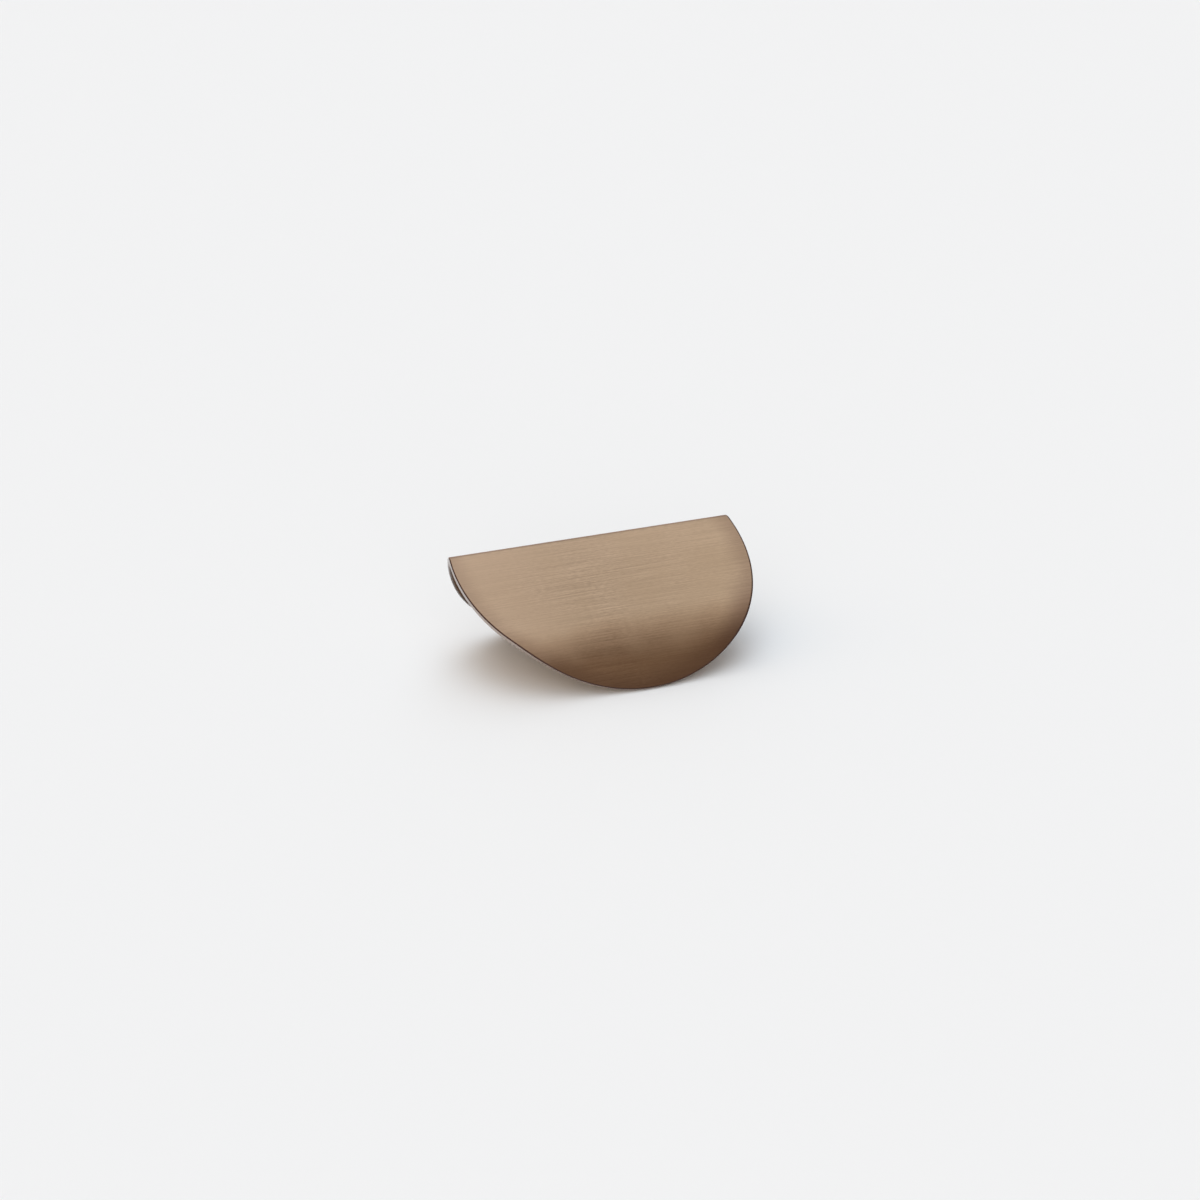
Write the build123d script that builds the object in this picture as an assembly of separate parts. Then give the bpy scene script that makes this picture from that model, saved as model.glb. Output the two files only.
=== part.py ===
from build123d import *
from math import degrees, radians, sqrt, tan
import os

# A cabinet edge pull made from one disc of sheet metal.
# The disc is folded to a right angle along a line beside its centre. The smaller part hangs down as a flange
# and is screwed to the back of a door or a drawer front. The larger part lies over the panel's top edge and
# ends in a lip that turns down in front, for the fingers.
# Millimetres. X runs along the fold, -Y is towards the user and +Z is up. The origin is midway between the
# screw holes, on the face of the flange that lies against the panel.

# Driving dimensions
disc_diameter = 80.0  # of the flat blank
sheet = 1.5  # thickness of the metal
rim_rounding = 0.35  # radius on both edges of the rim
fold_offset = 7.3  # from the disc's centre to the middle of the fold
fold_inner_radius = 0.5
fold_turn = 90.0  # degrees
lip_length = 8.2  # straight end of the lip, beyond its bend
lip_inner_radius = 23.5
lip_turn = 24.5  # degrees
screw_spacing = 32.0
screw_rim_distance = 15.7  # from the line of screws down to the flange's rim
screw_hole_diameter = 4.2
screw_land = 0.3  # straight wall left in each hole below its countersink
countersink_angle = 90.0  # degrees
cuts_per_bend = 8  # stations that shape the rim on its way through a bend
straightness = 1e-4  # an edge that is longer than its chord by more than this is curved

# The radii of the sheet's middle surface, where bending keeps the blank's lengths
rim_radius = disc_diameter / 2
fold_radius = fold_inner_radius + sheet / 2
lip_radius = lip_inner_radius + sheet / 2

# Cuts across the blank, counted from the disc's centre: positive on the flange's side, negative on the lip's
fold_length = fold_radius * radians(fold_turn)
fold_rear = fold_offset + fold_length / 2
fold_front = fold_offset - fold_length / 2
lip_end = lip_length - rim_radius
lip_start = lip_end + lip_radius * radians(lip_turn)
flat_length = fold_front - lip_start
flange_depth = rim_radius - fold_rear


def half_width(cut):
    """Half of the disc's width at a cut across it."""
    return sqrt(rim_radius**2 - cut**2)


def flat_strip(start, end):
    """The disc's stretch between two cuts, flat, with the start on the X axis."""
    between = Pos(0, (start + end) / 2) * Rectangle(disc_diameter, abs(end - start))
    return Pos(0, -start) * extrude(Circle(rim_radius) & between, sheet / 2, both=True)


def rim_in_bend(start, end, stretch, share):
    """Half-width part of the way through a bend: a cubic that meets the rim before and after without a kink.

    stretch is how much longer the bend is on this layer of the sheet than on its middle surface."""
    wide, narrow = half_width(start), half_width(end)
    run = (end - start) * stretch
    leaving = -start / wide * run
    arriving = -end / narrow * run
    rise = 3 * share**2 - 2 * share**3
    ends = wide * (1 - rise) + narrow * rise
    slopes = leaving * share * (1 - share) ** 2 - arriving * share**2 * (1 - share)
    return ends + slopes


def bent_strip(start, end, radius):
    """The disc's stretch between two cuts, bent towards its inner face, with the start on the X axis."""
    turn = degrees((start - end) / radius)
    room = fold_inner_radius / 2
    layers = [radius - sheet / 2 - room, radius + sheet / 2 + room]
    cuts = []
    for step in range(-1, cuts_per_bend + 2):
        share = step / cuts_per_bend
        below, above = [rim_in_bend(start, end, layer / radius, share) for layer in layers]
        low, high = layers
        corners = [(-below, 0, low), (below, 0, low), (above, 0, high), (-above, 0, high)]
        cuts.append(Rot(X=turn * share) * make_face(Polyline(*corners, close=True)))
    across = Pos(0, 0, radius) * Rot(X=90) * Rectangle(disc_diameter, sheet)
    full_width = revolve(across, Axis.X, turn)
    return Pos(0, 0, -radius) * (full_width & loft(cuts))


def past_bend(radius, turn):
    """The way from a bend's first cut to its last."""
    return Pos(0, 0, -radius) * Rot(X=turn) * Pos(0, 0, radius)


def bent_disc():
    """The whole sheet: flange, fold, flat part, lip bend and straight lip end, one after the other."""
    flange_cut = Pos(0, sheet / 2, flange_depth - screw_rim_distance) * Rot(X=-90)
    leaf_cut = flange_cut * past_bend(fold_radius, fold_turn)
    lip_cut = leaf_cut * Pos(0, -flat_length, 0)
    tip_cut = lip_cut * past_bend(lip_radius, lip_turn)
    flange = flange_cut * flat_strip(fold_rear, rim_radius)
    fold = flange_cut * bent_strip(fold_rear, fold_front, fold_radius)
    leaf = leaf_cut * flat_strip(fold_front, lip_start)
    lip_bend = lip_cut * bent_strip(lip_start, lip_end, lip_radius)
    tip = tip_cut * flat_strip(lip_end, -rim_radius)
    return flange + fold + leaf + lip_bend + tip


def is_curved(edge):
    """True for the edges of the rim. Those across the sheet and along the bends are straight."""
    chord = (edge @ 1 - edge @ 0).length
    return edge.length > chord + straightness


def screw_hole():
    """A hole that is countersunk on its +Z side, where the screw goes in."""
    sink_depth = sheet - screw_land
    widening = sink_depth * tan(radians(countersink_angle / 2))
    hole_radius = screw_hole_diameter / 2
    return CounterSinkHole(hole_radius, hole_radius + widening, 2 * sheet, countersink_angle)


blank = bent_disc()
pull = fillet(blank.edges().filter_by(is_curved), rim_rounding)
for side in (-1, 1):
    rear_face = Pos(side * screw_spacing / 2, sheet, 0) * Rot(X=-90)
    pull -= rear_face * screw_hole()

os.makedirs("parts", exist_ok=True)
export_step(pull, "parts/pull.step")
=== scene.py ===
import bpy
from math import cos, radians, sin
from mathutils import Matrix, Vector
from types import SimpleNamespace


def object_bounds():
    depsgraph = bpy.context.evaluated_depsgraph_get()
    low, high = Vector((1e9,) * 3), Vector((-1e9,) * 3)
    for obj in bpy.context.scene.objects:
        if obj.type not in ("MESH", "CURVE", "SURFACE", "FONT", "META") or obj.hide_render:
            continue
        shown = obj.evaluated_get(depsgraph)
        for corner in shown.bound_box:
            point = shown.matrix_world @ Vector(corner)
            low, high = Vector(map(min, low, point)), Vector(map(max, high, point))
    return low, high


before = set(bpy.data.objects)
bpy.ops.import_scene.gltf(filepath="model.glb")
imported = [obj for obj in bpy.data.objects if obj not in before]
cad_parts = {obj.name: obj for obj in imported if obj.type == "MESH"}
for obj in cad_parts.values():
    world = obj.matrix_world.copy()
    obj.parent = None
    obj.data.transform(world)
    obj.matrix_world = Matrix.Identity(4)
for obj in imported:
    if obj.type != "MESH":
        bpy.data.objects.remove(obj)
cad_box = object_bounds()
scene = bpy.context.scene
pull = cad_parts["pull"]

# The sheet's driving sizes, as in the CAD model, in metres
disc_radius = 0.040
thickness = 0.0015
fold_offset = 0.0073  # from the disc's centre to the middle of the fold
fold_inner_radius = 0.0005
fold_turn = radians(90)
lip_length = 0.0082  # straight end of the lip, beyond its bend
lip_inner_radius = 0.0235
bend_turn = radians(24.5)
hole_offset = 0.016
sink_radius = 0.00329  # just inside the edge of the countersink
mid_depth = 0.0010  # what lies less deep is on the outer side of the sheet

# Places that follow from them, with the lengths kept on the sheet's middle surface
outer_face = cad_box[1].z  # top of the flat part
fold_length = (fold_inner_radius + thickness / 2) * fold_turn
fold_front = fold_offset - fold_length / 2  # from the disc's centre to the front end of the fold
fold_line = -fold_inner_radius  # where the flat part starts
bend_radius = lip_inner_radius + thickness / 2
bend_length = bend_radius * bend_turn
flat_length = fold_front + disc_radius - lip_length - bend_length
bend_start = fold_line - flat_length
bend_height = outer_face - thickness - lip_inner_radius  # of the bend's axis


# The photograph shows the pull lying loose: the rims of its flange and its lip touch the floor. The part
# keeps the frame that it is fixed in, so the floor, the light and the camera are tilted instead.
def lowest(points, tilt):
    """How low the points reach, measured square to a floor with this tilt."""
    return min(point.y * sin(tilt) + point.z * cos(tilt) for point in points)


def tilt_on_both_rims(points):
    """The tilt at which the flange and the lip reach equally low, found by halving."""
    flange_top = 0.0
    lip_rear = -0.035
    steepest = radians(60)
    halvings = 40
    flange = [point for point in points if point.z < flange_top]
    lip = [point for point in points if point.y < lip_rear]
    shallow, steep = 0.0, steepest
    for halving in range(halvings):
        tilt = (shallow + steep) / 2
        if lowest(flange, tilt) < lowest(lip, tilt):
            shallow = tilt
        else:
            steep = tilt
    return tilt


points = [vertex.co for vertex in pull.data.vertices]
tilt = tilt_on_both_rims(points)
floor_level = lowest(points, tilt)
lying = Matrix.Rotation(-tilt, 4, "X")


def camera_at_photo_angle():
    azimuth = radians(-25.43)
    elevation = radians(19.90)
    distance = 1.0
    target = Vector((-0.00162, -0.01462, 0.01025))
    level = cos(elevation)
    back = Vector((sin(azimuth) * level, -cos(azimuth) * level, sin(elevation)))
    right = Vector((0, 0, 1)).cross(back).normalized()
    up = back.cross(right)
    facing = lying @ Matrix((right, up, back)).transposed().to_4x4()
    place = target + facing.to_3x3() @ Vector((0, 0, distance))
    data = bpy.data.cameras.new("camera")
    data.lens = 117.7
    data.sensor_width = 36.0
    data.clip_start = 0.01
    camera = bpy.data.objects.new("camera", data)
    camera.matrix_world = Matrix.Translation(place) @ facing
    scene.collection.objects.link(camera)
    scene.camera = camera


class Nodes:
    """Short calls for building a node tree. A fade is: from, to, and the values at its two ends."""

    def __init__(self, owner):
        owner.use_nodes = True
        self.tree = owner.node_tree
        self.tree.nodes.clear()

    def add(self, kind, inputs=None, **settings):
        node = self.tree.nodes.new(kind)
        for name, value in settings.items():
            setattr(node, name, value)
        for name, value in (inputs or {}).items():
            if isinstance(value, bpy.types.NodeSocket):
                self.tree.links.new(value, node.inputs[name])
            else:
                node.inputs[name].default_value = value
        return node

    def math(self, operation, *values):
        return self.add("ShaderNodeMath", dict(enumerate(values)), operation=operation).outputs[0]

    def total(self, first, *others):
        for other in others:
            first = self.math("ADD", first, other)
        return first

    def product(self, first, *others):
        for other in others:
            first = self.math("MULTIPLY", first, other)
        return first

    def vector(self, operation, *values, output="Value"):
        node = self.add("ShaderNodeVectorMath", dict(enumerate(values)), operation=operation)
        return node.outputs[output]

    def clamp(self, value, low, high):
        return self.add("ShaderNodeClamp", {"Value": value, "Min": low, "Max": high}).outputs[0]

    def fade(self, value, low, high, to_low=0.0, to_high=1.0):
        limits = {"Value": value, "From Min": low, "From Max": high, "To Min": to_low, "To Max": to_high}
        return self.add("ShaderNodeMapRange", limits, interpolation_type="SMOOTHSTEP").outputs[0]

    def mix(self, share, first, second, blend="MIX"):
        inputs = {0: share, 6: first, 7: second}
        return self.add("ShaderNodeMix", inputs, data_type="RGBA", blend_type=blend).outputs[2]

    def tone(self, share, colour, tone):
        return self.mix(share, colour, tone, "MULTIPLY")

    def noise(self, place, scale, roughness):
        stretched = self.add("ShaderNodeMapping", {"Vector": place, "Scale": scale}).outputs[0]
        inputs = {"Vector": stretched, "Scale": 1.0, "Detail": 2.0, "Roughness": roughness}
        return self.add("ShaderNodeTexNoise", inputs).outputs[0]


def studio_light():
    """A broad soft strip overhead that reaches down in front and behind, with dim sides.

    It lights the floor and the pull. The camera and the reflections see plain pale grey."""
    front = Vector((-0.574, -0.819, 0))
    right = Vector((0.910, -0.415, 0))
    overhead_light = (1.70, 1.79, 1.87, 1)
    low_front_light = (3.61, 3.31, 3.05, 1)
    left_light = (0.82, 0.62, 0.45, 1)
    right_light = (0.17, 0.12, 0.086, 1)
    pale_grey = (0.887, 0.887, 0.887, 1)
    low_front_fade = (0.69, 0.82)
    left_to_right_fade = (-0.3, 0.3)
    strip_edge_fade = (0.10, 0.60)

    world = bpy.data.worlds.new("studio")
    nodes = Nodes(world)
    direction = nodes.add("ShaderNodeTexCoord").outputs["Generated"]
    forward = nodes.vector("DOT_PRODUCT", direction, lying.to_3x3() @ front)
    rightward = nodes.vector("DOT_PRODUCT", direction, lying.to_3x3() @ right)
    sideways = nodes.math("ABSOLUTE", rightward)
    strip = nodes.mix(nodes.fade(forward, *low_front_fade), overhead_light, low_front_light)
    sides = nodes.mix(nodes.fade(rightward, *left_to_right_fade), left_light, right_light)
    colour = nodes.mix(nodes.fade(sideways, *strip_edge_fade), strip, sides)
    light = nodes.add("ShaderNodeBackground", {"Color": colour})
    plain = nodes.add("ShaderNodeBackground", {"Color": pale_grey})
    rays = nodes.add("ShaderNodeLightPath").outputs
    mirrored = nodes.math("MAXIMUM", rays["Is Glossy Ray"], rays["Is Transmission Ray"])
    seen = nodes.math("MAXIMUM", rays["Is Camera Ray"], mirrored)
    shown = nodes.add("ShaderNodeMixShader", {0: seen, 1: light.outputs[0], 2: plain.outputs[0]})
    nodes.add("ShaderNodeOutputWorld", {"Surface": shown.outputs[0]})
    scene.world = world


def floor():
    """A pale floor under the two rims. Seen from below it is clear, so that it hides nothing."""
    pale = (0.805, 0.845, 0.882, 1)
    reach = 20.0

    material = bpy.data.materials.new("floor")
    nodes = Nodes(material)
    top = nodes.add("ShaderNodeBsdfDiffuse", {"Color": pale})
    clear = nodes.add("ShaderNodeBsdfTransparent")
    below = nodes.add("ShaderNodeNewGeometry").outputs["Backfacing"]
    shown = nodes.add("ShaderNodeMixShader", {0: below, 1: top.outputs[0], 2: clear.outputs[0]})
    nodes.add("ShaderNodeOutputMaterial", {"Surface": shown.outputs[0]})
    corners = [(-reach, -reach), (reach, -reach), (reach, reach), (-reach, reach)]
    mesh = bpy.data.meshes.new("floor")
    mesh.from_pydata([lying @ Vector((x, y, floor_level)) for x, y in corners], [], [(0, 1, 2, 3)])
    mesh.materials.append(material)
    plane = bpy.data.objects.new("floor", mesh)
    scene.collection.objects.link(plane)


def place_on_sheet(nodes):
    """Where a point lay on the flat disc, as sockets.

    x runs along the fold and s from the disc's centre towards the flange, and sheet holds both. depth is
    counted down from the outer face, and rim inwards from the disc's rim. place, y and z are the point's own.
    behind is 1 on the fold and the flange, and outer is 1 on the outer side of the part in front of them."""
    place = nodes.add("ShaderNodeTexCoord").outputs["Object"]
    x, y, z = nodes.add("ShaderNodeSeparateXYZ", {0: place}).outputs
    on_flat = nodes.clamp(nodes.math("SUBTRACT", fold_line, y), 0.0, flat_length)
    ahead = nodes.math("SUBTRACT", bend_start, y)
    raised = nodes.math("SUBTRACT", z, bend_height)
    angle = nodes.clamp(nodes.math("ARCTAN2", ahead, raised), 0.0, bend_turn)
    on_bend = nodes.product(angle, bend_radius)
    forward = nodes.product(ahead, cos(bend_turn))
    upward = nodes.product(raised, sin(bend_turn))
    on_tip = nodes.math("MAXIMUM", nodes.math("SUBTRACT", forward, upward), 0.0)
    behind = nodes.math("GREATER_THAN", y, fold_line)
    on_flange = nodes.product(behind, nodes.math("SUBTRACT", outer_face, z))
    in_front = nodes.math("SUBTRACT", fold_front, nodes.total(on_flat, on_bend, on_tip))
    s = nodes.total(in_front, on_flange)

    from_axis = nodes.total(
        nodes.product(ahead, nodes.math("SINE", angle)),
        nodes.product(raised, nodes.math("COSINE", angle)))
    depth = nodes.math("SUBTRACT", outer_face - bend_height, from_axis)
    outer = nodes.math("LESS_THAN", depth, mid_depth)
    sheet = nodes.add("ShaderNodeCombineXYZ", {0: x, 1: s}).outputs[0]
    rim = nodes.math("SUBTRACT", disc_radius, nodes.vector("LENGTH", sheet))
    return SimpleNamespace(
        place=place, x=x, y=y, z=z, sheet=sheet, s=s, depth=depth, rim=rim, behind=behind, outer=outer)


def brush_marks(nodes, at):
    """Brush lines along the fold, long and short, and soft clouds."""
    long_scale, long_share = (45, 2600, 1), 0.55
    short_scale, short_share = (700, 4200, 1), 0.45
    line_roughness = 0.6
    cloud_scale, cloud_roughness = (60, 60, 60), 0.5

    long_lines = nodes.noise(at.sheet, long_scale, line_roughness)
    short_lines = nodes.noise(at.sheet, short_scale, line_roughness)
    lines = nodes.total(nodes.product(long_lines, long_share), nodes.product(short_lines, short_share))
    clouds = nodes.noise(at.place, cloud_scale, cloud_roughness)
    return lines, clouds


def brushed_colour_and_sheen(nodes, at, lines, clouds):
    """The brushed metal, with painted sheen: a little lighter by the fold and towards both ends."""
    dark_line = (0.369, 0.266, 0.181, 1)
    light_line = (0.615, 0.456, 0.323, 1)
    cloud = (0.46, 0.333, 0.222, 1)
    # Painted sheen: lighter colours by the fold and towards both ends of the fold
    sheen_by_fold = (0.65, 0.486, 0.358, 1)
    right_end_sheen = (0.62, 0.452, 0.301, 1)
    left_end_sheen = (0.64, 0.470, 0.345, 1)
    line_fade = (0.3, 0.7)
    cloud_fade = (0.3, 0.7, 0.0, 0.5)
    sheen_by_fold_fade = (-0.008, 0.006, 0.0, 0.24)
    right_fade = (-0.010, 0.035, 0.0, 0.25)
    left_fade = (-0.036, -0.005, 0.35, 0.0)

    colour = nodes.mix(nodes.fade(lines, *line_fade), dark_line, light_line)
    colour = nodes.mix(nodes.fade(clouds, *cloud_fade), colour, cloud)
    # Painted sheen, lighter by the fold and towards both ends
    colour = nodes.mix(nodes.fade(at.s, *sheen_by_fold_fade), colour, sheen_by_fold)
    colour = nodes.mix(nodes.fade(at.x, *right_fade), colour, right_end_sheen)
    return nodes.mix(nodes.fade(at.x, *left_fade), colour, left_end_sheen)


def lip_and_rim_shade_and_tone(nodes, at, clouds, colour):
    """Painted shade darkens the bend, the lip and a band along the rim, together with the brown tone that was
    brushed off the middle and stays on the lip and along the rim.
    """
    # Painted shade on the bend and the lip where they turn from the light, with some brown tone on the lip
    bend_shade = (1.0, 0.96, 0.91, 1)
    lip_shade_and_tone = (0.35, 0.28, 0.235, 1)
    rim_shade_and_tone = (0.46, 0.39, 0.41, 1)
    bend_fade = (-0.026, -0.0168, 1.0, 0.0)
    lip_fade = (-0.0332, -0.0175, 1.0, 0.0)
    cloud_middle = 0.5
    cloud_drift = 0.008
    band_width_fade = (-0.02, 0.034, 0.0050, 0.0075)
    band_cloud_fade = (0.25, 0.75, 0.75, 1.25)
    band_fade = (0.0, 1.0, 1.0, 0.0)
    strength_fade = (-0.028, -0.010, 0.85, 0.42)
    tip_strength_fade = (-0.037, -0.029, 0.7, 1.0)
    left_to_middle = (-0.03, 0.0)
    left_strength = 0.27

    drift = nodes.product(nodes.math("SUBTRACT", clouds, cloud_middle), cloud_drift)
    drifting = nodes.total(at.s, drift)
    on_bend = nodes.product(at.outer, nodes.fade(drifting, *bend_fade))
    on_lip = nodes.product(at.outer, nodes.fade(drifting, *lip_fade))
    # Painted shade over the bend and the lip
    colour = nodes.tone(on_bend, colour, bend_shade)
    colour = nodes.tone(on_lip, colour, lip_shade_and_tone)

    # A band along the rim: painted shade where the edge turns from the light, with a pinkish brown tone
    width = nodes.product(
        nodes.fade(at.x, *band_width_fade), nodes.fade(clouds, *band_cloud_fade))
    band = nodes.fade(nodes.math("DIVIDE", at.rim, width), *band_fade)
    right_strength = nodes.product(
        nodes.fade(at.s, *strength_fade), nodes.fade(at.s, *tip_strength_fade))
    strength = nodes.fade(at.x, *left_to_middle, left_strength, right_strength)
    return nodes.tone(nodes.product(band, strength), colour, rim_shade_and_tone)


def flange_shade(nodes, at, colour):
    """Painted shade: the fold, the inner face of the flange and the countersinks are darker."""
    # Painted shade in the fold, on the flange's inner face and in the countersinks
    fold_shade = (0.66, 0.62, 0.63, 1)
    inner_shade = (0.52, 0.47, 0.44, 1)
    sink_shade = (0.45, 0.41, 0.40, 1)
    fold_front_fade = (-0.0003, 0.0004)
    fold_lower_fade = (0.0006, 0.0045, 1.0, 0.0)
    inner_front = -0.0004
    inner_fade = (0.00002, 0.0003, 1.0, 0.0)
    sink_front = 0.00002
    sink_fade = (0.0, 0.0015, 1.0, 0.35)

    # Painted shade along the outside of the fold
    in_fold = nodes.product(
        nodes.fade(at.y, *fold_front_fade), nodes.fade(at.depth, *fold_lower_fade))
    colour = nodes.tone(in_fold, colour, fold_shade)
    # Painted shade on the inner face of the flange
    on_face = nodes.product(
        nodes.math("GREATER_THAN", at.y, inner_front), nodes.fade(at.y, *inner_fade))
    on_inner = nodes.product(on_face, nodes.math("SUBTRACT", 1.0, at.outer))
    colour = nodes.tone(on_inner, colour, inner_shade)

    # Painted shade in the countersinks, darker further down
    from_hole = nodes.math("SUBTRACT", nodes.math("ABSOLUTE", at.x), hole_offset)
    from_hole = nodes.add("ShaderNodeCombineXYZ", {0: from_hole, 1: at.z}).outputs[0]
    in_sink = nodes.product(
        nodes.math("LESS_THAN", nodes.vector("LENGTH", from_hole), sink_radius),
        nodes.math("GREATER_THAN", at.y, sink_front),
        nodes.fade(at.y, *sink_fade))
    return nodes.tone(in_sink, colour, sink_shade)


def rim_masks(nodes, at):
    """Where the cut of the rim is bare, and where the outer edge above it is dull and painted dark as shade.

    On the inner side the bare metal goes on past the rounding."""
    inner_side_fade = (0.0006, 0.0010, 0.0, 0.00036)
    bare_fade = (0.00008, 0.00018, 1.0, 0.0)
    edge_depth = 0.0004
    edge_width_fade = (0.0, 0.03, 0.00028, 0.0006)
    edge_fade = (0.5, 1.0, 1.0, 0.0)

    further_in = nodes.fade(at.depth, *inner_side_fade)
    bare = nodes.fade(nodes.math("SUBTRACT", at.rim, further_in), *bare_fade)
    edge = nodes.math("DIVIDE", at.rim, nodes.fade(at.x, *edge_width_fade))
    near_face = nodes.math("LESS_THAN", at.depth, edge_depth)
    # Painted shade: a dull dark line along the outer edge of the rim
    dull = nodes.product(near_face, nodes.fade(edge, *edge_fade))
    return bare, dull


def rim_colour(nodes, at, bare, dull, colour):
    """The cut is greyer than the faces, with painted light making it lighter along the flat part than on the
    lip, and painted shade making it darker at the lower right and on the flange.

    The edge above it is painted dark brown as shade."""
    # The cut is painted lighter along the flat part and painted in shade at the lower right and down the
    # flange
    lip_cut = (0.45, 0.375, 0.335, 1)
    lit_flat_cut = (0.52, 0.48, 0.46, 1)
    lower_right_shade = (0.65, 0.57, 0.50, 1)
    flange_cut_shade = (0.36, 0.31, 0.28, 1)
    dark_edge_shade = (0.058, 0.034, 0.028, 1)
    lip_to_flat_fade = (-0.016, -0.002)
    rightward_fade = (0.0, 0.03)
    lower_fade = (-0.026, -0.012, 1.0, 0.0)
    down_flange_fade = (0.0015, 0.005)

    # Painted light on the cut along the flat part, then painted shade at the lower right and on the flange
    cut = nodes.mix(nodes.fade(at.s, *lip_to_flat_fade), lip_cut, lit_flat_cut)
    lower_right = nodes.product(nodes.fade(at.x, *rightward_fade), nodes.fade(at.s, *lower_fade))
    cut = nodes.tone(lower_right, cut, lower_right_shade)
    on_flange = nodes.product(nodes.fade(at.depth, *down_flange_fade), at.behind)
    cut = nodes.tone(on_flange, cut, flange_cut_shade)
    colour = nodes.mix(bare, colour, cut)
    # Painted shade: the outer edge of the rim is dark brown
    return nodes.mix(dull, colour, dark_edge_shade)


def brushed_bronze():
    """The metal of the pull. Its brush lines stretch the reflections square to the fold."""
    roughness_fade = (0.3, 0.7, 0.44, 0.54)
    smoother_cut = 0.2
    dull_roughness = 0.85
    line_relief = {"Strength": 0.25, "Distance": 0.00002}
    along_fold = (1.0, 0.0, 0.0)

    material = bpy.data.materials.new("brushed_bronze")
    nodes = Nodes(material)
    at = place_on_sheet(nodes)
    lines, clouds = brush_marks(nodes, at)
    colour = brushed_colour_and_sheen(nodes, at, lines, clouds)
    colour = lip_and_rim_shade_and_tone(nodes, at, clouds, colour)
    colour = flange_shade(nodes, at, colour)
    bare, dull = rim_masks(nodes, at)
    colour = rim_colour(nodes, at, bare, dull, colour)

    brushed = nodes.fade(lines, *roughness_fade)
    roughness = nodes.math("SUBTRACT", brushed, nodes.product(bare, smoother_cut))
    roughness = nodes.math("MAXIMUM", roughness, nodes.product(dull, dull_roughness))
    relief = nodes.add("ShaderNodeBump", {"Height": lines, **line_relief}).outputs[0]
    facing = nodes.add("ShaderNodeNewGeometry").outputs["Normal"]
    tangent = nodes.vector("CROSS_PRODUCT", facing, along_fold, output="Vector")
    shader = nodes.add("ShaderNodeBsdfPrincipled", {
        "Base Color": colour, "Metallic": nodes.math("SUBTRACT", 1.0, dull), "Roughness": roughness,
        "Normal": relief, "Specular IOR Level": 0.0, "Anisotropic": 0.75, "Tangent": tangent})
    nodes.add("ShaderNodeOutputMaterial", {"Surface": shader.outputs[0]})
    return material


camera_at_photo_angle()
studio_light()
floor()
pull.data.materials.clear()
pull.data.materials.append(brushed_bronze())

scene.view_settings.view_transform = "Standard"
